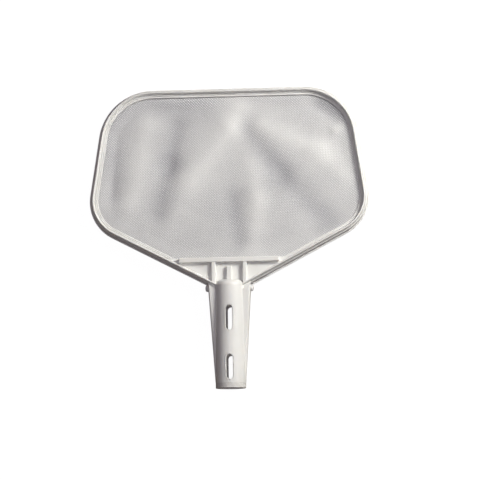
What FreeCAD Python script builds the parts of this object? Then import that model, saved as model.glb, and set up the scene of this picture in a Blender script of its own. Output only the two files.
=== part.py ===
"""Leaf skimmer net: a moulded rim with a clamped net, on a socket handle for a telescopic pole.

Millimetres. The origin is the centre of the handle's mouth on the bore's axis.
+Y runs along the bore towards the net, +Z is up out of the front face, +X is to the right.
"""
import FreeCAD, Part
import math
import os

Vector = FreeCAD.Vector
X_AXIS = Vector(1, 0, 0)
Y_AXIS = Vector(0, 1, 0)
Z_AXIS = Vector(0, 0, 1)
FAR = 400.0              # longer than anything that a cutting block has to pass
NEAR = 0.1               # slack when edges are picked by their place
OVERRUN = 1.0            # cutters reach this far past the face that they open

# Handle socket
POLE_D = 31.75           # standard 1 1/4 inch pole
POLE_FIT = 0.225         # radial room for the pole
BORE_R = POLE_D / 2 + POLE_FIT
TUBE_WALL = 2.4
TUBE_R = BORE_R + TUBE_WALL
BORE_LENGTH = 72.0       # close fitting stretch of the bore
RELIEF_R = 16.5          # the bore is wider round the locking pegs
STOP_Y = 115.0           # the pole's end stops here
TUBE_END = 133.0
DOME_R = 7.0
COLLAR_LENGTH = 6.4
COLLAR_WALL = 1.1
COLLAR_PROUD = 0.15
COLLAR_ROUND = 0.4

# Two through slots for the pole's bolts
SLOT_CENTRES = (25.8, 85.8)
SLOT_WIDTH = 8.0
SLOT_LENGTH = 30.0
LIP_WIDTH = 1.3
LIP_RISE = 0.4
SLOT_BEVEL = 0.9

# Side flanks of the handle
FLANK_TOP_Y = 122.0
FLANK_END_Y = 140.0
FLANK_HALF_MOUTH = 18.4
FLANK_HALF_TOP = 26.0
FLANK_END_HALF = 15.0
FLANK_SIDE_Y = 129.6     # the flank's sides turn in beyond here
FLANK_THIN = 3.0         # half thickness at the mouth
FLANK_THICK = 8.6        # half thickness at FLANK_TOP_Y
FLANK_ROUND = 2.2

# Release levers, given for the right-hand side
PIVOT = Vector(21.2, 103.0, 0)
PIN_R = 1.25
PIN_PLAY = 0.05
PIN_CHAMFER = 0.3
PIN_HALF = 6.3
BOSS_R = 2.2
LEVER_HALF = 4.4
PEG_Y = 93.0
PEG_R = 2.3
PEG_TIP_X = 14.6
PEG_CHAMFER = 0.6
PEG_HOLE_R = 3.3
PEG_HOLE_SHIFT = 0.4
PEG_ARM_X = (18.75, 20.65)
PEG_ARM_END_Y = 90.0
BUTTON_Y = 123.2
BUTTON_R = 4.2
BUTTON_TIP_X = 29.7
BUTTON_ROUND = 2.4
BUTTON_HOLE_R = 4.9
BUTTON_HOLE_SHIFT = 0.45
BUTTON_ARM_X = 23.3
BUTTON_ARM_WIDTH = 2.2
BUTTON_ARM_END_Y = 126.7
NUB_R = 1.7
NUB_LENGTH = 1.5
POCKET_Y = (86.5, 129.4)
POCKET_INNER_X = 9.0     # inside the tube, which bounds the pocket
POCKET_HALF = 4.7
POCKET_SKIN = 1.0
COVER_LEDGE = 1.0

# Return springs
WIRE_D = 0.6
SPRING_R = 2.35          # mean radius of the coil
SPRING_TURNS = 5
WELL_R = 3.1
WELL_BOTTOM_X = 11.0
SPRING_GAP = 0.05

# Rim outline: (corner, rounding radius), counter-clockwise from the V behind the handle
RIM_CORNERS = (
    (Vector(0, 112.5, 0), 20.0),
    (Vector(178.2, 206.3, 0), 52.0),
    (Vector(152.6, 374.7, 0), 68.0),
    (Vector(-152.6, 374.7, 0), 68.0),
    (Vector(-178.2, 206.3, 0), 52.0),
)
RIM_WIDTH = 11.2
RIM_BASE_Z = -4.0        # the rim's back, from the bore's axis
TILT_Y = 125.0           # the rim leans back about this line, so that its far edge meets the floor
REST_Z = -(TUBE_R + LIP_RISE)

# Heights below are measured from the rim's back
BACK_TOP = 2.4
LEDGE_TOP = 5.4
NET_THICK = 0.5
CREST = 14.0
RING_SEAT = 7.6          # from the rim's outer edge to the clamp ring
NET_EDGE = 8.1           # from the rim's outer edge to the net's clamped edge
WEB_BOTTOM = 5.0
WEB_TOP = 7.8
FLANK_PASS = 9.9         # the flanks pass below the rim's crest up to this height

# Throat
BAR_Y = (154.6, 160.6)
BAR_TOP = 13.7
BAR_HALF = 61.8          # half length of the part that stands above the web
BAR_ROUND = 0.9
RIB_BITE = 3.0           # how far the ribs run into the rim's wall
RIB_TOP = 13.0
MIDDLE_RIB_TOP = 12.4
MIDDLE_RIB_END_Y = 149.4
RIB_X = 19.2
RIB_WIDTH = 5.0
MIDDLE_RIB_WIDTH = 6.6
RIB_ROUND = 0.9
TONGUE_END_Y = 153.6
TONGUE_GAP = 0.2
NET_GRIP = 3.0           # the net's depth in the crossbar's groove

# Throat screws
SCREW_Y = (142.4, 149.8)
SCREW_R = 1.5
SCREW_CLEARANCE_R = 1.7
SCREW_LENGTH = 9.0
SCREW_HEAD_R = 2.8
SCREW_HEAD = 1.8
SCREW_HEAD_ROUND = 0.5
SCREW_SINK = 2.0
SCREW_SINK_R = 3.0
CROSS_WIDTH = 0.7
CROSS_LENGTH = 3.2
CROSS_DEPTH = 1.0

# Sections as (distance in from the outer edge, height above the rim's back, rounding radius)
FRONT_SECTION = (
    (1.3, BACK_TOP, 0), (1.3, 3.5, 0.3), (2.4, 8.6, 0.3), (3.2, 9.0, 0.3),
    (4.6, CREST, 0.8), (6.0, CREST, 0.8), (RING_SEAT, WEB_TOP, 0), (RING_SEAT, LEDGE_TOP, 0),
    (RIM_WIDTH, LEDGE_TOP, 0.3), (RIM_WIDTH, BACK_TOP, 0), (9.0, BACK_TOP, 0), (9.0, 4.2, 0),
    (6.6, 4.2, 0.4), (5.9, 6.5, 0.8), (5.3, 11.0, 0.4), (3.2, 4.2, 0), (3.2, BACK_TOP, 0),
)
BACK_SECTION = (
    (0.0, 0.0, 0.5), (RIM_WIDTH, 0.0, 0.5), (RIM_WIDTH, BACK_TOP, 0), (8.8, BACK_TOP, 0),
    (8.8, 3.9, 0.4), (3.4, 3.9, 0.4), (3.4, BACK_TOP, 0), (0.0, BACK_TOP, 0.5),
)
RING_SECTION = (
    (7.65, 5.9, 0), (7.65, 8.9, 0.4), (8.8, 8.9, 0.4), (9.2, 7.5, 0), (9.6, 7.5, 0),
    (9.85, 8.1, 0.2), (RIM_WIDTH, 7.8, 0.5), (RIM_WIDTH, 5.9, 0),
)


def rest_tilt():
    """Angle in degrees that brings the rim's far back edge down to the resting height."""
    reach = RIM_CORNERS[2][0].y - TILT_Y
    slant = math.hypot(reach, RIM_BASE_Z)
    return math.degrees(math.asin(REST_Z / slant) - math.atan2(RIM_BASE_Z, reach))


def lean(shape):
    """Move a shape from the rim's own flat frame to its place on the handle."""
    moved = shape.translated(Vector(0, 0, RIM_BASE_Z))
    return moved.rotated(Vector(0, TILT_Y, 0), X_AXIS, rest_tilt())


def rounded_edges(corners):
    """Edges of a closed outline, in order, with each (point, radius) corner rounded."""
    runs = []
    for index, (point, radius) in enumerate(corners):
        back = (corners[index - 1][0] - point).normalize()
        ahead = (corners[(index + 1) % len(corners)][0] - point).normalize()
        half = back.getAngle(ahead) / 2
        reach = radius / math.tan(half)
        middle = point + (back + ahead).normalize() * (radius / math.sin(half) - radius)
        runs.append((point + back * reach, middle, point + ahead * reach, radius))
    edges = []
    for index, (start, middle, end, radius) in enumerate(runs):
        if radius > 0:
            edges.append(Part.Arc(start, middle, end).toShape())
        edges.append(Part.makeLine(end, runs[(index + 1) % len(runs)][0]))
    return edges


def face_of(corners):
    """Flat face inside a closed outline of (point, radius) corners."""
    return Part.Face(Part.Wire(rounded_edges(corners)))


def prism(points, bottom, top):
    """Upright block over a sharp-cornered plan of (x, y) points."""
    corners = [(Vector(x, y, bottom), 0) for x, y in points]
    return face_of(corners).extrude(Vector(0, 0, top - bottom))


def box(x, y, z):
    """Block between pairs of limits."""
    return Part.makeBox(x[1] - x[0], y[1] - y[0], z[1] - z[0], Vector(x[0], y[0], z[0]))


def across(radius, y, x_from, x_to):
    """Round bar along X."""
    return Part.makeCylinder(radius, x_to - x_from, Vector(x_from, y, 0), X_AXIS)


def along(radius, y_from, y_to):
    """Round bar along the bore's axis."""
    return Part.makeCylinder(radius, y_to - y_from, Vector(0, y_from, 0), Y_AXIS)


def mirrored(shape):
    """The same shape on the handle's left-hand side."""
    return shape.mirror(Vector(0, 0, 0), X_AXIS)


def both_sides(shape):
    return shape.fuse(mirrored(shape))


def rounded(shape, radius, chosen):
    """Round the edges that the test picks."""
    return shape.makeFillet(radius, [edge for edge in shape.Edges if chosen(edge)])


# ---- Rim ----

def rim_edges():
    return rounded_edges(RIM_CORNERS)


def inside_rim(inset, bottom, top):
    """Block over the area that lies at least inset inside the rim's outer edge."""
    wire = Part.Wire(rim_edges())
    if inset > 0:
        wire = wire.makeOffset2D(-inset)
    block = Part.Face(wire).extrude(Vector(0, 0, top - bottom))
    return block.translated(Vector(0, 0, bottom))


def round_the_rim(section):
    """Closed ring of one section: a block for each run, a turned piece for each corner."""
    pieces = []
    for edge in rim_edges():
        start = edge.valueAt(edge.FirstParameter)
        heading = edge.tangentAt(edge.FirstParameter)
        inward = Vector(-heading.y, heading.x, 0)
        corners = [(start + inward * inset + Z_AXIS * height, radius)
                   for inset, height, radius in section]
        face = face_of(corners)
        if edge.Curve.TypeId == "Part::GeomLine":
            pieces.append(face.extrude(heading * edge.Length))
        else:
            angle = math.degrees(edge.Length / edge.Curve.Radius)
            pieces.append(face.revolve(edge.Curve.Center, Z_AXIS, angle))
    return pieces[0].multiFuse(pieces[1:]).removeSplitter()


def throat_web():
    """Recessed plate that fills the V between the rim's lower runs, up to the clamp ring's ends."""
    below_ring = box((-FAR, FAR), (0, BAR_Y[1]), (0, FAR))
    return inside_rim(RING_SEAT - OVERRUN, WEB_BOTTOM, WEB_TOP).common(below_ring)


def crossbar():
    """Bar that holds the net's near edge: short above the web, and full width below it."""
    upper = box((-BAR_HALF, BAR_HALF), BAR_Y, (WEB_BOTTOM, BAR_TOP))
    upper = rounded(upper, BAR_ROUND, lambda edge: edge.CenterOfMass.z > WEB_BOTTOM + NEAR)
    lower = box((-FAR, FAR), BAR_Y, (BACK_TOP, WEB_BOTTOM))
    return upper.fuse(lower.common(inside_rim(RIM_WIDTH - OVERRUN, 0, WEB_BOTTOM)))


def rib(x, width, end_y, top):
    """Rib that runs towards the crossbar from the rim or the handle's end."""
    bar = box((x - width / 2, x + width / 2), (TILT_Y, end_y), (WEB_BOTTOM, top))
    bar = rounded(bar, RIB_ROUND, lambda edge: edge.CenterOfMass.z > top - NEAR
                  and edge.CenterOfMass.y > TILT_Y + NEAR)
    return bar.common(inside_rim(RING_SEAT - RIB_BITE, 0, CREST))


def net():
    """The net as a plain thin sheet, reaching under the clamp ring and into the crossbar."""
    beyond_bar = box((-FAR, FAR), (BAR_Y[1] - NET_GRIP, FAR), (0, FAR))
    return inside_rim(NET_EDGE, LEDGE_TOP, LEDGE_TOP + NET_THICK).common(beyond_bar)


def net_ring():
    """Clamp ring, open along the crossbar."""
    beyond_bar = box((-FAR, FAR), (BAR_Y[1], FAR), (0, FAR))
    return round_the_rim(RING_SECTION).common(beyond_bar)


def rim_frame(handle_shape):
    frame = round_the_rim(FRONT_SECTION)
    ribs = [rib(side * RIB_X, RIB_WIDTH, BAR_Y[0] + 2 * OVERRUN, RIB_TOP) for side in (-1, 1)]
    ribs.append(rib(0, MIDDLE_RIB_WIDTH, MIDDLE_RIB_END_Y, MIDDLE_RIB_TOP))
    frame = frame.multiFuse([throat_web(), crossbar()] + ribs)
    frame = frame.cut(net()).cut(Part.makeCompound(screw_shanks(SCREW_R)))
    return fit_to_handle(lean(frame), handle_shape)


def largest(shape):
    """The biggest solid of a cut, without loose offcuts."""
    return max(shape.Solids, key=lambda solid: solid.Volume)


def fit_to_handle(shape, handle_shape):
    """Cut a piece of the rim where the handle and the buttons' travel pass through it."""
    return largest(shape.cut([handle_shape, tube_blank(), both_sides(button_hole())]))


def rim_back_ring(handle_shape):
    return fit_to_handle(lean(round_the_rim(BACK_SECTION)), handle_shape)


# ---- Throat screws ----

def screw_places():
    return [Vector(side * RIB_X, y, 0) for side in (-1, 1) for y in SCREW_Y]


def screw_shanks(radius, bottom=0.0):
    top = SCREW_SINK - SCREW_HEAD + SCREW_LENGTH
    return [Part.makeCylinder(radius, top - bottom, place + Z_AXIS * bottom)
            for place in screw_places()]


def screw(place):
    """Pan-head screw, driven up from the back."""
    head_bottom = SCREW_SINK - SCREW_HEAD
    head = Part.makeCylinder(SCREW_HEAD_R, SCREW_HEAD, place + Z_AXIS * head_bottom)
    head = rounded(head, SCREW_HEAD_ROUND, lambda edge: edge.CenterOfMass.z < head_bottom + NEAR)
    shank = Part.makeCylinder(SCREW_R, SCREW_LENGTH, place + Z_AXIS * head_bottom)
    half = CROSS_LENGTH / 2
    slit = box((-half, half), (-CROSS_WIDTH / 2, CROSS_WIDTH / 2),
               (head_bottom, head_bottom + CROSS_DEPTH))
    cross = slit.fuse(slit.rotated(Vector(0, 0, 0), Z_AXIS, 90)).translated(place)
    return head.fuse(shank).cut(cross)


def throat_screws():
    return lean(Part.makeCompound([screw(place) for place in screw_places()]))


# ---- Handle ----

def tube_blank():
    """Solid outer form of the tube, with its rounded closed end."""
    blank = along(TUBE_R, 0, TUBE_END)
    return rounded(blank, DOME_R, lambda edge: edge.CenterOfMass.y > TUBE_END - NEAR)


def stadium(width, length, centre_y, bottom, top):
    """Upright block with a long round-ended plan."""
    straight = (length - width) / 2
    block = box((-width / 2, width / 2), (centre_y - straight, centre_y + straight), (bottom, top))
    ends = [Part.makeCylinder(width / 2, top - bottom, Vector(0, centre_y + side * straight, bottom))
            for side in (-1, 1)]
    return block.multiFuse(ends).removeSplitter()


def slot_lips():
    """Raised band round each slot, front and back."""
    proud = along(TUBE_R + LIP_RISE, COLLAR_LENGTH, TUBE_END - DOME_R)
    pads = [stadium(SLOT_WIDTH + 2 * LIP_WIDTH, SLOT_LENGTH + 2 * LIP_WIDTH, y, -FAR, FAR)
            for y in SLOT_CENTRES]
    return proud.common(pads[0].fuse(pads[1])).cut(along(BORE_R + OVERRUN, 0, TUBE_END))


def slot_cuts():
    """Through slots, opened out by a bevel at each face."""
    cuts = []
    for y in SLOT_CENTRES:
        cuts.append(stadium(SLOT_WIDTH, SLOT_LENGTH, y, -FAR, FAR))
        wide = stadium(SLOT_WIDTH + 2 * SLOT_BEVEL, SLOT_LENGTH + 2 * SLOT_BEVEL, y, -FAR, FAR)
        cuts.append(wide.cut(along(TUBE_R - SLOT_BEVEL / 2, 0, TUBE_END)))
    return cuts


def flank_half(y):
    """Half width of the flanks at a distance from the mouth."""
    return FLANK_HALF_MOUTH + (FLANK_HALF_TOP - FLANK_HALF_MOUTH) * y / FLANK_TOP_Y


def flank_blank():
    """Both flanks as one tapered slab, before the rim and the levers are let in."""
    side = ((FLANK_HALF_MOUTH, 0), (FLANK_HALF_TOP, FLANK_TOP_Y),
            (FLANK_HALF_TOP, FLANK_SIDE_Y), (FLANK_END_HALF, FLANK_END_Y))
    plan = list(side) + [(-x, y) for x, y in reversed(side)]
    slab = prism(plan, -FAR / 2, FAR / 2)
    end_half = FLANK_THIN + (FLANK_THICK - FLANK_THIN) * FLANK_END_Y / FLANK_TOP_Y
    profile = ((0, -FLANK_THIN), (FLANK_END_Y, -end_half), (FLANK_END_Y, end_half), (0, FLANK_THIN))
    wedge = face_of([(Vector(-FAR / 2, y, z), 0) for y, z in profile]).extrude(X_AXIS * FAR)
    slab = slab.common(wedge)
    return rounded(slab, FLANK_ROUND, lambda edge: abs(edge.CenterOfMass.z) > FLANK_THIN
                   and abs(edge.CenterOfMass.x) > 1)


def rim_room():
    """Space above the flanks that the rim, its web and its ribs take."""
    over_rim = inside_rim(0, FLANK_PASS, FAR)
    over_web = inside_rim(RING_SEAT, WEB_BOTTOM, FAR)
    return lean(over_rim.fuse(over_web))


def tongue():
    """Plate behind the throat web, which the throat screws pass through."""
    plate = inside_rim(RIM_WIDTH + TONGUE_GAP, 0, WEB_BOTTOM)
    plate = plate.common(box((-FAR, FAR), (0, TONGUE_END_Y), (0, FAR)))
    return lean(plate)


def tongue_holes():
    sinks = [Part.makeCylinder(SCREW_SINK_R, FAR, place - Z_AXIS * (FAR - SCREW_SINK))
             for place in screw_places()]
    return lean(Part.makeCompound(screw_shanks(SCREW_CLEARANCE_R, -OVERRUN) + sinks))


def pocket_plan(margin):
    """Plan of a lever's pocket, longer by margin at each end."""
    low = POCKET_Y[0] - margin
    high = POCKET_Y[1] + margin
    outer_high = min(flank_half(high), FLANK_HALF_TOP) - POCKET_SKIN
    return ((POCKET_INNER_X, low), (flank_half(low) - POCKET_SKIN, low), (outer_high, high),
            (POCKET_INNER_X, high))


def cover_room():
    """Recess for a pocket's cover, open at the back."""
    recess = prism(pocket_plan(COVER_LEDGE), -FAR, -POCKET_HALF)
    return recess.cut(along(TUBE_R, 0, TUBE_END))


def button_hole():
    """Hole that the right-hand button slides in, flattened to the pocket's depth."""
    hole = across(BUTTON_HOLE_R, BUTTON_Y + BUTTON_HOLE_SHIFT, PIVOT.x, BUTTON_TIP_X + OVERRUN)
    return hole.common(box((0, FAR), (0, FAR), (-POCKET_HALF, POCKET_HALF)))


def lever_room():
    """Everything that is cut from the handle for the right-hand lever and its spring."""
    pocket = prism(pocket_plan(0), -FAR, POCKET_HALF).cut(along(TUBE_R, 0, TUBE_END))
    peg_hole = across(PEG_HOLE_R, PEG_Y - PEG_HOLE_SHIFT, BORE_R - OVERRUN, PIVOT.x)
    well = across(WELL_R, BUTTON_Y, WELL_BOTTOM_X, PIVOT.x)
    pin_hole = Part.makeCylinder(PIN_R, 2 * PIN_HALF, PIVOT - Z_AXIS * PIN_HALF)
    return pocket.multiFuse([peg_hole, button_hole(), well, pin_hole, cover_room()])


def handle():
    tube = tube_blank().multiFuse([slot_lips(), flank_blank().cut(rim_room()), tongue()])
    bore = along(BORE_R, -OVERRUN, BORE_LENGTH).fuse(along(RELIEF_R, BORE_LENGTH, STOP_Y))
    under_collar = along(collar_inner(), -2 * OVERRUN, COLLAR_LENGTH + OVERRUN)
    collar_seat = along(FAR, -OVERRUN, COLLAR_LENGTH).cut(under_collar)
    cuts = [bore, collar_seat, both_sides(lever_room()), tongue_holes()] + slot_cuts()
    return largest(tube.cut(cuts).removeSplitter())


def collar_inner():
    return TUBE_R - COLLAR_WALL


def mouth_collar():
    """Band pressed round the mouth."""
    ring = along(TUBE_R + COLLAR_PROUD, 0, COLLAR_LENGTH).cut(along(collar_inner(), 0, COLLAR_LENGTH))
    return rounded(ring, COLLAR_ROUND, lambda edge: edge.Closed and edge.Length > 2 * math.pi * TUBE_R)


# ---- Release levers, right-hand side ----

def lever_plate():
    """Flat rocker: a short straight arm to the peg and an arm that leans out to the button."""
    low, high = -LEVER_HALF, LEVER_HALF
    boss = Part.makeCylinder(BOSS_R, high - low, PIVOT + Z_AXIS * low)
    peg_arm = box(PEG_ARM_X, (PEG_ARM_END_Y, PIVOT.y), (low, high))
    half = BUTTON_ARM_WIDTH / 2
    lean_out = (BUTTON_ARM_X - PIVOT.x) / (BUTTON_Y - PIVOT.y)
    end_x = PIVOT.x + lean_out * (BUTTON_ARM_END_Y - PIVOT.y)
    plan = ((PIVOT.x - half, PIVOT.y), (PIVOT.x + half, PIVOT.y),
            (end_x + half, BUTTON_ARM_END_Y), (end_x - half, BUTTON_ARM_END_Y))
    return boss.multiFuse([peg_arm, prism(plan, low, high)])


def release_lever():
    peg = across(PEG_R, PEG_Y, PEG_TIP_X, PEG_ARM_X[1])
    tip = [edge for edge in peg.Edges if edge.CenterOfMass.x < PEG_TIP_X + NEAR]
    peg = peg.makeChamfer(PEG_CHAMFER, tip)
    button = across(BUTTON_R, BUTTON_Y, BUTTON_ARM_X, BUTTON_TIP_X)
    button = rounded(button, BUTTON_ROUND, lambda edge: edge.CenterOfMass.x > BUTTON_TIP_X - NEAR)
    nub_end = BUTTON_ARM_X - BUTTON_ARM_WIDTH / 2 - NUB_LENGTH
    nub = across(NUB_R, BUTTON_Y, nub_end, BUTTON_ARM_X)
    pin_hole = Part.makeCylinder(PIN_R + PIN_PLAY, FAR, PIVOT - Z_AXIS * FAR / 2)
    return lever_plate().multiFuse([peg, button, nub]).cut(pin_hole).removeSplitter()


def pivot_pin():
    pin = Part.makeCylinder(PIN_R, 2 * PIN_HALF, PIVOT - Z_AXIS * PIN_HALF)
    return pin.makeChamfer(PIN_CHAMFER, [edge for edge in pin.Edges if edge.Closed])


def button_spring():
    """Round-wire coil from the well's bottom to the button's arm."""
    arm_face = BUTTON_ARM_X - BUTTON_ARM_WIDTH / 2
    height = arm_face - WELL_BOTTOM_X - WIRE_D - 2 * SPRING_GAP
    helix = Part.makeHelix(height / SPRING_TURNS, height, SPRING_R)
    section = Part.Wire(Part.makeCircle(WIRE_D / 2, Vector(SPRING_R, 0, 0), Y_AXIS))
    coil = helix.makePipeShell([section], True, True)
    coil.rotate(Vector(0, 0, 0), Y_AXIS, 90)
    return coil.translated(Vector(WELL_BOTTOM_X + WIRE_D / 2 + SPRING_GAP, BUTTON_Y, 0))


def pocket_cover():
    """Strip that closes the pocket flush with the flank's back."""
    pin_end = Part.makeCylinder(PIN_R, 2 * PIN_HALF, PIVOT - Z_AXIS * PIN_HALF)
    return largest(flank_blank().common(cover_room()).cut(pin_end))


def export(node, shape):
    shape.exportStep("parts/" + node + ".step")


def main():
    os.makedirs("parts", exist_ok=True)
    handle_shape = handle()
    export("handle", handle_shape)
    export("mouth_collar", mouth_collar())
    export("rim_frame", rim_frame(handle_shape))
    export("rim_back_ring", rim_back_ring(handle_shape))
    export("net_ring", lean(net_ring()))
    export("net", lean(net()))
    export("throat_screws", throat_screws())
    pieces = (("release_lever", release_lever()), ("pivot_pin", pivot_pin()),
              ("button_spring", button_spring()), ("pocket_cover", pocket_cover()))
    for name, shape in pieces:
        export(name + "_right", shape)
        export(name + "_left", mirrored(shape))


main()
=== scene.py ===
"""Leaf skimmer net: the woven net, the springs and every finish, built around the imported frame.

Metres, in the row frame: +Y runs from the handle's mouth towards the net, +Z is up out of its face.
Lengths that are given in millimetres are multiplied by MM.
"""

import math

import bpy
import numpy as np
from mathutils import Matrix, Vector


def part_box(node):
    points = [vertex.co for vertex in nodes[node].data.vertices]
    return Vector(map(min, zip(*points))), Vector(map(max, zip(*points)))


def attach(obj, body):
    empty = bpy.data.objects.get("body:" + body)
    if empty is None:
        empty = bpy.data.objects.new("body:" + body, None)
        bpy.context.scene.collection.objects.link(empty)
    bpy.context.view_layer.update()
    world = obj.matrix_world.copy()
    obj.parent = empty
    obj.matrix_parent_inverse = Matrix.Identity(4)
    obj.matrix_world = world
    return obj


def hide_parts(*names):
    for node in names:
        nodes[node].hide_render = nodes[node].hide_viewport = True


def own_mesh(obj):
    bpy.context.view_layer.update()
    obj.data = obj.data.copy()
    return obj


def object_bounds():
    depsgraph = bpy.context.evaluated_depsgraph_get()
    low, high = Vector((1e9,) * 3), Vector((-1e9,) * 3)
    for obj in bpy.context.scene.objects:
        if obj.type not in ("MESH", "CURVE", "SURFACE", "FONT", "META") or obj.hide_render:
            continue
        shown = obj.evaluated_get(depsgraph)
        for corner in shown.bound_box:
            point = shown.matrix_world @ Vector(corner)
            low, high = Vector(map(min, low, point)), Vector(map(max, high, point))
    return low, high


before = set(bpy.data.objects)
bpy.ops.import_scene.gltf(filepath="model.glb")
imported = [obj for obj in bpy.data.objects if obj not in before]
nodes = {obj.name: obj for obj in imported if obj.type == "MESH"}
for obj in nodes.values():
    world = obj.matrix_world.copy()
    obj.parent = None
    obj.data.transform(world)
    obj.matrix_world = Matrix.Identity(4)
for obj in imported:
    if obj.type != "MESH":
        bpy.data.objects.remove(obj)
cad_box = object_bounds()

MM = 0.001
TINY = 1e-9              # below this a slope counts as level
SAME_PLACE = 7           # decimals, in metres, at which two corners are one

# Camera: looks down on the face, from a little towards the handle's mouth and the right
VIEW_LIFT = 6.46         # degrees
VIEW_SIDE = 4.29
VIEW_ROLL = -1.31
VIEW_AIM = Vector((13.1, 183.1, -6.2)) * MM
VIEW_DISTANCE = 3.5
VIEW_WIDTH = 591.8 * MM  # what the frame shows across, at the aim
SENSOR = 36.0            # millimetres

# Lamps as (azimuth from +X towards +Y, height, distance in metres, size, power, colour)
LAMPS = {
    "key": (30.0, 36.0, 1.35, 0.42, 19.9, (1.0, 0.985, 0.93)),
    "front_fill": (-60.0, 80.0, 3.0, 1.0, 12.0, (0.94, 0.90, 1.0)),
    "side_fill": (118.0, 38.0, 0.8, 0.4, 0.3, (0.90, 0.85, 1.0)),
}
SKY = (0.100, 0.088, 0.090)
GROUND = (0.066, 0.048, 0.036)
FLOOR_SIZE = 40.0        # metres
FLOOR_GLOW = 0.96

# Moulded plastic. Texture scales here and below are in features per metre
CLOUDS = 28.0
GRAIN = 1900.0
FLOW = 130.0
RUB_STRETCH = (90.0, 22.0, 90.0)   # the handling marks run along Y
RUB_SCALE = 3.0
GRAIN_DEPTH = 0.0002
PLASTIC_IOR = 1.49
DEPTH_GLOW = 0.30        # share of light that passes under the surface
DEPTH_GLOW_TINT = (1.0, 0.94, 0.86)
DEPTH_GLOW_REACH = 0.004   # metres

# Yarn, steel and floor
SOILING = 26.0
SOILING_DEPTH = 0.12
FIBRES = 5200.0
FIBRE_DEPTH = 0.0001
TURNING_STRETCH = (300.0, 300.0, 4000.0)
PAPER = 9.0

# Net
PITCH = 2.25             # millimetres between yarns
WARP = (0.85, 0.20, 0.85)      # a yarn's width, thickness and share of the weave's waviness
WEFT = (1.85, 0.26, 0.15)
WEAVE_ANGLE = 49.0       # degrees from the crossbar to the warp
# Painted highlight: the weft is painted this much paler than the warp, for the light that falls across
# it.
WEFT_PAINTED_HIGHLIGHT = 0.12
# Painted shade of the folds: over this span of fold height the yarn colour goes from darkest in a
# trough to palest on a ridge.
RISE_SPAN = 6.0          # millimetres of fold from the darkest yarn to the palest
PRESSED = 0.15           # how much of the weave's waviness is left where the edge is clamped
CLAMP_DEPTH = 3.2        # the clamp ring covers this much of the net's edge
SLACK_START = 16.0       # the net leaves its plane over this distance from the clamp
SAG = 1.6
DRIFT = 0.5              # how far the weave wanders in its own plane
SHORT_DRIFT = 0.6        # the short waves' share of the long waves' drift
NET_REACH = 400.0        # yarns are tried up to this far from the middle of the net
END_ROOM = 0.4           # share of a pitch between a yarn's end and its first crossing

# The net's folds, as (start, end, half width, rise) in millimetres. They lie in the net's plane, where
# X 0 is the centre line, the crossbar is at Y 160 and the rim's far edge is at Y 375. A trough has a
# negative rise. The rise also paints shade into the yarn's colour: darker in a trough, paler on a
# ridge.
FOLDS = (
    ((13, 349), (0, 326), 14, 2.0),
    ((-3, 324), (-50, 257), 17, 2.2),
    ((-50, 257), (-75, 205), 18, 1.2),
    ((-102, 334), (-125, 228), 15, 2.4),
    ((42, 323), (111, 291), 15, 2.2),
    ((111, 291), (144, 257), 16, 1.4),
    ((24, 278), (35, 232), 13, 1.3),
    ((35, 232), (26, 175), 13, 1.3),
    ((133, 318), (145, 325), 6, 1.6),
    ((25, 318), (64, 264), 14, -2.2),
    ((64, 264), (122, 202), 17, -2.1),
    ((-64, 326), (-75, 278), 13, -2.6),
    ((-75, 278), (-89, 218), 13, -2.4),
    ((4, 236), (11, 183), 13, -2.1),
    ((-145, 323), (-145, 242), 10, -2.0),
    ((117, 352), (149, 335), 13, -2.6),
    ((-140, 345), (-35, 352), 16, -1.8),
)

# Springs
WIRE = 0.6               # millimetres
COILS = 6.5
DEAD_COILS = 0.9         # close coils at each end
EVEN_PITCH = 0.35        # share of the rise that is spread evenly over all the coils
STEPS_PER_COIL = 24
WIRE_SIDES = 10


# ---- Materials ----

MID_BAND = (0.3, 0.7)    # a noise texture stays mostly within this


def new_material(name):
    """A node material with its node tree and its shader."""
    material = bpy.data.materials.new(name)
    material.use_nodes = True
    tree = material.node_tree
    shader = tree.nodes["Principled BSDF"]
    return material, tree, shader


def add(tree, kind, inputs=None, **settings):
    """One node with its settings; inputs maps a socket to a value or to another node's output."""
    node = tree.nodes.new(kind)
    for name, value in settings.items():
        setattr(node, name, value)
    for socket, value in (inputs or {}).items():
        if isinstance(value, bpy.types.NodeSocket):
            tree.links.new(value, node.inputs[socket])
        else:
            node.inputs[socket].default_value = value
    return node


def noise(tree, place, scale, detail=3.0, roughness=0.5):
    inputs = {"Vector": place, "Scale": scale, "Detail": detail, "Roughness": roughness}
    return add(tree, "ShaderNodeTexNoise", inputs).outputs["Fac"]


def ramp(tree, factor, low, high, stops=MID_BAND):
    """A colour that goes from low to high over the stops."""
    node = add(tree, "ShaderNodeValToRGB", {"Fac": factor})
    for element, colour, stop in zip(node.color_ramp.elements, (low, high), stops):
        element.position = stop
        element.color = (*colour, 1.0)
    return node.outputs["Color"]


def remap(tree, value, from_range, to_range):
    inputs = {"Value": value, "From Min": from_range[0], "From Max": from_range[1],
              "To Min": to_range[0], "To Max": to_range[1]}
    return add(tree, "ShaderNodeMapRange", inputs).outputs["Result"]


def stretched(tree, place, scale):
    """The place, scaled along each axis, for grain that runs one way."""
    return add(tree, "ShaderNodeMapping", {"Vector": place, "Scale": scale}).outputs["Vector"]


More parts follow.
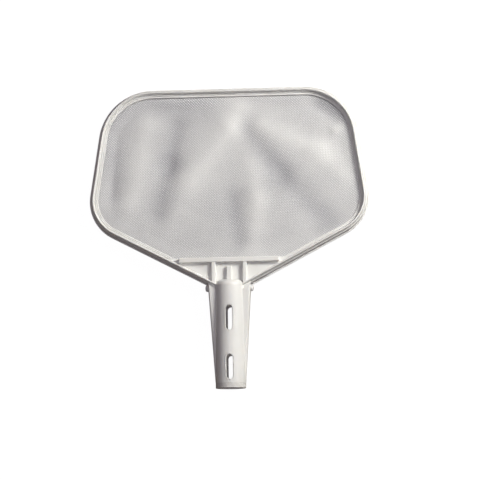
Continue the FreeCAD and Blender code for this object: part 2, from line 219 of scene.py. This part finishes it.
def moulded_plastic(name, shade, tint, gloss, grain):
    """Glossy moulded polypropylene: faint flow clouding, a fine mould texture and worn gloss."""
    material, tree, shader = new_material(name)
    place = add(tree, "ShaderNodeTexCoord").outputs["Object"]
    clouds = noise(tree, place, CLOUDS, 4.0)
    tree.links.new(ramp(tree, clouds, shade, tint), shader.inputs["Base Color"])
    rubbed = noise(tree, stretched(tree, place, RUB_STRETCH), RUB_SCALE, 5.0, 0.6)
    tree.links.new(remap(tree, rubbed, MID_BAND, gloss), shader.inputs["Roughness"])
    texture = noise(tree, place, GRAIN, 2.0)
    flow = noise(tree, place, FLOW, 2.0)
    height = add(tree, "ShaderNodeMath", {0: texture, 1: flow}, operation="ADD").outputs["Value"]
    relief = {"Height": height, "Strength": grain, "Distance": GRAIN_DEPTH}
    bump = add(tree, "ShaderNodeBump", relief)
    tree.links.new(bump.outputs["Normal"], shader.inputs["Normal"])
    shader.inputs["IOR"].default_value = PLASTIC_IOR
    shader.inputs["Subsurface Weight"].default_value = DEPTH_GLOW
    shader.inputs["Subsurface Radius"].default_value = DEPTH_GLOW_TINT
    shader.inputs["Subsurface Scale"].default_value = DEPTH_GLOW_REACH
    return material


def woven_yarn(name):
    """White polyester yarn with painted shade in its colour: greyer low in the net's folds, paler on
    their ridges and on the weft; fine fibres along and across.
    """
    material, tree, shader = new_material(name)
    place = add(tree, "ShaderNodeTexCoord").outputs["Object"]
    # Painted shade: the fold attribute darkens the yarn in the folds' troughs and pales it on their
    # ridges and on the weft; the soiling noise adds random patches.
    rise_and_painted_shade = add(tree, "ShaderNodeAttribute", attribute_name="rise_and_painted_shade").outputs["Fac"]
    patches = noise(tree, place, SOILING, 4.0)
    soiling = remap(tree, patches, MID_BAND, (-SOILING_DEPTH, SOILING_DEPTH))
    level = add(tree, "ShaderNodeMath", {0: rise_and_painted_shade, 1: soiling}, operation="ADD").outputs["Value"]
    colour = ramp(tree, level, (0.39, 0.39, 0.41), (0.70, 0.70, 0.69), (0.05, 0.95))
    tree.links.new(colour, shader.inputs["Base Color"])
    fibres = noise(tree, place, FIBRES, 2.0)
    tree.links.new(remap(tree, fibres, MID_BAND, (0.42, 0.62)), shader.inputs["Roughness"])
    relief = {"Height": fibres, "Strength": 0.3, "Distance": FIBRE_DEPTH}
    bump = add(tree, "ShaderNodeBump", relief)
    tree.links.new(bump.outputs["Normal"], shader.inputs["Normal"])
    shader.inputs["Sheen Weight"].default_value = 0.25
    shader.inputs["Sheen Roughness"].default_value = 0.4
    return material


def bright_steel(name):
    """Stainless steel with fine turning marks."""
    material, tree, shader = new_material(name)
    place = add(tree, "ShaderNodeTexCoord").outputs["Object"]
    marks = noise(tree, stretched(tree, place, TURNING_STRETCH), 1.0)
    colour = ramp(tree, marks, (0.52, 0.53, 0.55), (0.74, 0.75, 0.76))
    tree.links.new(colour, shader.inputs["Base Color"])
    tree.links.new(remap(tree, marks, MID_BAND, (0.22, 0.38)), shader.inputs["Roughness"])
    shader.inputs["Metallic"].default_value = 1.0
    return material


def pale_floor(name):
    """A lit white table: bright enough of itself that shadows on it stay faint."""
    material, tree, shader = new_material(name)
    place = add(tree, "ShaderNodeTexCoord").outputs["Object"]
    paper = noise(tree, place, PAPER)
    tree.links.new(ramp(tree, paper, (0.16, 0.16, 0.16), (0.20, 0.20, 0.20)),
                   shader.inputs["Base Color"])
    shader.inputs["Roughness"].default_value = 0.9
    shader.inputs["Specular IOR Level"].default_value = 0.1
    shader.inputs["Emission Color"].default_value = (1.0, 1.0, 1.0, 1.0)
    shader.inputs["Emission Strength"].default_value = FLOOR_GLOW
    return material


# ---- Meshes ----

def swept(runs, profile):
    """Vertices and faces of closed tubes. A run is (points, sides, fronts), one row per station:
    the profile's (across, out) offsets are laid along each station's side and front."""
    vertices, faces = [], []
    base = 0
    ring = len(profile)
    offsets = np.array(profile)
    for points, sides, fronts in runs:
        count = len(points)
        rings = (points[:, None, :] + offsets[None, :, :1] * sides[:, None, :]
                 + offsets[None, :, 1:] * fronts[:, None, :])
        vertices.append(rings.reshape(-1, 3))
        first = base + ring * np.arange(count - 1)[:, None]
        here = np.arange(ring)[None, :]
        there = (here + 1) % ring
        quads = np.stack([first + here, first + there, first + ring + there, first + ring + here], 2)
        faces.extend(quads.reshape(-1, 4).tolist())
        faces.append(list(range(base + ring - 1, base - 1, -1)))
        last = base + ring * (count - 1)
        faces.append(list(range(last, last + ring)))
        base += ring * count
    return np.concatenate(vertices), faces


def make_object(name, vertices, faces, material):
    mesh = bpy.data.meshes.new(name)
    mesh.from_pydata(vertices.tolist(), [], faces)
    mesh.validate()
    mesh.update()
    mesh.materials.append(material)
    piece = bpy.data.objects.new(name, mesh)
    bpy.context.scene.collection.objects.link(piece)
    return piece


def unit(rows):
    return rows / np.linalg.norm(rows, axis=1, keepdims=True)


# ---- Net ----

class NetPlane:
    """The plane and the outline of the clamped sheet, read from its CAD node."""

    def __init__(self):
        mesh = nodes["net"].data
        upper = [face for face in mesh.polygons if face.normal.z > 0.9]
        self.normal = np.array(upper[0].normal)
        self.across = np.array((1.0, 0.0, 0.0))
        self.along = np.cross(self.normal, self.across)
        thickness = np.ptp([np.dot(self.normal, v.co) for v in mesh.vertices])
        corners = {index for face in upper for index in face.vertices}
        places = {tuple(round(c, SAME_PLACE) for c in mesh.vertices[index].co) for index in corners}
        places = np.array(sorted(places))
        # the point of the plane at Y 0 on the centre line; flat places keep the row frame's scale
        level = (places @ self.normal).mean() - thickness / 2
        self.origin = self.normal * level
        flat = np.stack([places @ self.across, places @ self.along], axis=1) / MM
        middle = flat.mean(axis=0)
        turn = np.arctan2(flat[:, 1] - middle[1], flat[:, 0] - middle[0])
        self.corners = flat[np.argsort(turn)]
        runs = np.roll(self.corners, -1, axis=0) - self.corners
        self.inward = unit(np.stack([-runs[:, 1], runs[:, 0]], axis=1))

    def room(self, flat):
        """How far inside the outline each flat place lies."""
        gaps = np.einsum("pki,ki->pk", flat[:, None, :] - self.corners[None], self.inward)
        return gaps.min(axis=1)

    def chord(self, start, heading):
        """Where a straight line enters and leaves the outline."""
        gap = ((start - self.corners) * self.inward).sum(axis=1)
        rate = self.inward @ heading
        reach = -gap / np.where(np.abs(rate) < TINY, TINY, rate)
        return reach[rate > TINY].max(), reach[rate < -TINY].min()

    def lift(self, flat, height):
        """Row frame places of flat places that stand off the plane."""
        return (self.origin + MM * (flat[:, :1] * self.across + flat[:, 1:] * self.along
                                    + height[:, None] * self.normal))


def eased(share):
    share = np.clip(share, 0.0, 1.0)
    return share * share * (3 - 2 * share)


def fold_rise(flat):
    """Sum of the folds' rises: each is a rounded ridge or trough about its own line."""
    total = np.zeros(len(flat))
    for start, end, half_width, rise_and_painted_shade in FOLDS:
        start, end = np.array(start, float), np.array(end, float)
        line = end - start
        share = np.clip((flat - start) @ line / (line @ line), 0, 1)
        gap = np.linalg.norm(flat - start - share[:, None] * line, axis=1)
        total += rise_and_painted_shade * np.exp(-(gap / half_width) ** 2)
    return total


def surface_height(plane, flat):
    """Height of the slack net off its plane."""
    free = eased((plane.room(flat) - CLAMP_DEPTH) / SLACK_START)
    return free * (fold_rise(flat) - SAG)


def drifted(plane, flat):
    """The weave wanders a little in its own plane, except at the clamped edge. Each direction has a
    long and a short wave, given in millimetres to the radian, that never fall into step."""
    free = eased(plane.room(flat) / SLACK_START)[:, None]
    x, y = flat.T
    sway = np.stack([np.sin(y / 31 + x / 57) + SHORT_DRIFT * np.sin(y / 13 - x / 19),
                     np.sin(x / 37 - y / 53) + SHORT_DRIFT * np.sin(x / 17 + y / 11)], axis=1)
    return flat + DRIFT * free * sway


def yarn_runs(plane, angle, crimp, over_first):
    """All the parallel yarns of one direction, as runs for swept(). crimp is the yarn's share of the
    weave's waviness. over_first is 1 for one direction and -1 for the other, so that each goes over
    where the other goes under."""
    heading = np.array((math.cos(angle), math.sin(angle)))
    side = np.array((-heading[1], heading[0]))
    span = int(NET_REACH / PITCH)
    middle = plane.corners.mean(axis=0)
    middle = np.round(np.array((middle @ heading, middle @ side)) / PITCH)
    runs = []
    for row in range(-span, span + 1):
        track = middle[1] + row
        start = side * track * PITCH
        enter, leave = plane.chord(start, heading)
        if leave - enter < 2 * PITCH:
            continue
        first = math.ceil(enter / PITCH + END_ROOM)
        last = math.floor(leave / PITCH - END_ROOM)
        stations = np.arange(first, last + 1)
        parity = (stations + track) % 2 * 2 - 1
        reach = np.concatenate([[enter], stations * PITCH, [leave]])
        parity = np.concatenate([[0.0], parity, [0.0]]) * over_first
        flat = start + reach[:, None] * heading
        pressed = PRESSED + (1 - PRESSED) * eased((plane.room(flat) - CLAMP_DEPTH / 2) / CLAMP_DEPTH)
        flat = drifted(plane, flat)
        height = surface_height(plane, flat)
        wave = parity * pressed * crimp * (WARP[1] + WEFT[1]) / 2
        points = plane.lift(flat, height + wave)
        tangents = unit(np.gradient(points, axis=0))
        fronts = slopes(plane, flat)
        sides = unit(np.cross(fronts, tangents))
        runs.append((points, sides, fronts))
    return runs


def slopes(plane, flat):
    """Upward normal of the slack net's surface."""
    step = 1.0
    east = surface_height(plane, flat + (step, 0)) - surface_height(plane, flat - (step, 0))
    north = surface_height(plane, flat + (0, step)) - surface_height(plane, flat - (0, step))
    tilt = (east[:, None] * plane.across + north[:, None] * plane.along) / (2 * step)
    return unit(plane.normal - tilt)


def weave_net(material):
    plane = NetPlane()
    vertices, faces = [], []
    warp_angle = math.radians(WEAVE_ANGLE)
    painted_yarn_shades = []
    for size, angle, over_first in ((WARP, warp_angle, 1), (WEFT, warp_angle + math.pi / 2, -1)):
        width, thickness = (MM * value / 2 for value in size[:2])
        profile = ((-width, -thickness), (width, -thickness), (width, thickness), (-width, thickness))
        points, quads = swept(yarn_runs(plane, angle, size[2], over_first), profile)
        base = sum(len(rows) for rows in vertices)
        vertices.append(points)
        # Painted highlight on the weft and painted shade on the warp, as a tone offset for each yarn
        # direction.
        painted_yarn_shades.append(np.full(len(points), -WEFT_PAINTED_HIGHLIGHT / 2 * over_first))
        faces.extend([base + index for index in face] for face in quads)
    vertices = np.concatenate(vertices)
    piece = make_object("woven_net", vertices, faces, material)
    flat = np.stack([vertices @ plane.across, vertices @ plane.along], axis=1) / MM
    # Painted shade for the material: yarn tone from the fold height, darker in troughs and paler on
    # ridges, plus the weft's painted highlight.
    rise_and_painted_shade = np.clip(0.5 + fold_rise(flat) / RISE_SPAN + np.concatenate(painted_yarn_shades), 0, 1)
    attribute = piece.data.attributes.new("rise_and_painted_shade", "FLOAT", "POINT")
    attribute.data.foreach_set("value", rise_and_painted_shade.astype(np.float32))
    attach(piece, "skimmer")
    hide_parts("net")
    size = np.ptp(plane.corners, axis=0) * MM
    return piece


# ---- Springs ----

def coil_spring(side, material):
    """Helix with closer end coils, between the well's bottom and the button's arm."""
    node = "button_spring_" + side
    low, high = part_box(node)
    radius = (high.y - low.y) / 2 - WIRE * MM / 2
    turn = np.linspace(0, COILS, int(COILS * STEPS_PER_COIL) + 1)
    open_share = eased((turn - DEAD_COILS / 2) / (COILS - DEAD_COILS))
    share = EVEN_PITCH * turn / COILS + (1 - EVEN_PITCH) * open_share
    length = high.x - low.x - WIRE * MM
    angle = 2 * math.pi * turn
    out = np.stack([np.zeros_like(angle), np.cos(angle), np.sin(angle)], axis=1)
    centre = np.array((0, (low.y + high.y) / 2, (low.z + high.z) / 2))
    points = centre + radius * out
    points[:, 0] = low.x + WIRE * MM / 2 + share * length
    tangents = unit(np.gradient(points, axis=0))
    sides = unit(np.cross(out, tangents))
    round_wire = [(math.cos(a) * WIRE * MM / 2, math.sin(a) * WIRE * MM / 2)
                  for a in np.linspace(0, 2 * math.pi, WIRE_SIDES, endpoint=False)]
    piece = make_object("coil_spring_" + side, *swept([(points, sides, out)], round_wire), material)
    piece.data.shade_smooth()
    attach(piece, "skimmer")
    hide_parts(node)
    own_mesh(piece)


# ---- Set ----

def finish_nodes(finishes):
    """Give each CAD node its finish."""
    for name, material in finishes.items():
        mesh = nodes[name].data
        mesh.materials.clear()
        mesh.materials.append(material)


def make_camera():
    data = bpy.data.cameras.new("camera")
    camera = bpy.data.objects.new("camera", data)
    bpy.context.scene.collection.objects.link(camera)
    turn = (Matrix.Rotation(math.radians(VIEW_LIFT), 3, "X")
            @ Matrix.Rotation(math.radians(VIEW_SIDE), 3, "Y")
            @ Matrix.Rotation(math.radians(VIEW_ROLL), 3, "Z"))
    camera.rotation_euler = turn.to_euler()
    camera.location = VIEW_AIM + turn @ Vector((0, 0, VIEW_DISTANCE))
    data.sensor_width = SENSOR
    data.lens = SENSOR * VIEW_DISTANCE / VIEW_WIDTH
    data.clip_end = 2 * VIEW_DISTANCE
    bpy.context.scene.camera = camera


def make_floor():
    half = FLOOR_SIZE / 2
    level = cad_box[0].z
    corners = np.array([(-half, -half, level), (half, -half, level), (half, half, level),
                        (-half, half, level)])
    floor = make_object("floor", corners, [[0, 1, 2, 3]], pale_floor("floor_paper"))
    floor.visible_diffuse = False
    floor.visible_glossy = False


def soft_light(name, azimuth, height, distance, size, power, colour):
    """Round lamp that stands at the azimuth and height and faces the object."""
    data = bpy.data.lights.new(name, "AREA")
    data.shape = "DISK"
    data.size = size
    data.energy = power
    data.color = colour
    lamp = bpy.data.objects.new(name, data)
    bpy.context.scene.collection.objects.link(lamp)
    azimuth, height = math.radians(azimuth), math.radians(height)
    towards = Vector((math.cos(azimuth) * math.cos(height), math.sin(azimuth) * math.cos(height),
                      math.sin(height)))
    lamp.location = VIEW_AIM + towards * distance
    lamp.rotation_euler = towards.to_track_quat("Z", "Y").to_euler()


def make_lights():
    for name, settings in LAMPS.items():
        soft_light(name, *settings)
    world = bpy.data.worlds.new("studio")
    world.use_nodes = True
    tree = world.node_tree
    direction = add(tree, "ShaderNodeTexCoord").outputs["Generated"]
    height = add(tree, "ShaderNodeSeparateXYZ", {0: direction}).outputs["Z"]
    colour = ramp(tree, remap(tree, height, (-1.0, 1.0), (0.0, 1.0)), GROUND, SKY)
    tree.links.new(colour, tree.nodes["Background"].inputs["Color"])
    bpy.context.scene.world = world
    bpy.context.scene.view_settings.view_transform = "Standard"


WHITE = ((0.80, 0.80, 0.775), (0.85, 0.85, 0.83))
rim_plastic = moulded_plastic("rim_polypropylene", *WHITE, (0.30, 0.42), 0.12)
ring_plastic = moulded_plastic("ring_polypropylene", *WHITE, (0.36, 0.50), 0.15)
handle_plastic = moulded_plastic("handle_polypropylene", *WHITE, (0.28, 0.42), 0.12)
# The collar is coloured darker than the other white plastic.
collar_plastic = moulded_plastic("collar_polypropylene", (0.68, 0.675, 0.65), (0.74, 0.735, 0.71),
                                 (0.34, 0.46), 0.40)
lever_plastic = moulded_plastic("lever_acetal", (0.70, 0.70, 0.69), (0.78, 0.78, 0.77),
                                (0.26, 0.36), 0.25)
steel = bright_steel("stainless_steel")
finish_nodes({
    "rim_frame": rim_plastic, "rim_back_ring": rim_plastic, "net_ring": ring_plastic,
    "handle": handle_plastic, "mouth_collar": collar_plastic, "throat_screws": steel,
    **{"release_lever_" + side: lever_plastic for side in ("left", "right")},
    **{"pocket_cover_" + side: handle_plastic for side in ("left", "right")},
    **{"pivot_pin_" + side: steel for side in ("left", "right")},
})
weave_net(woven_yarn("net_yarn"))
for side in ("left", "right"):
    coil_spring(side, steel)
make_camera()
make_floor()
make_lights()
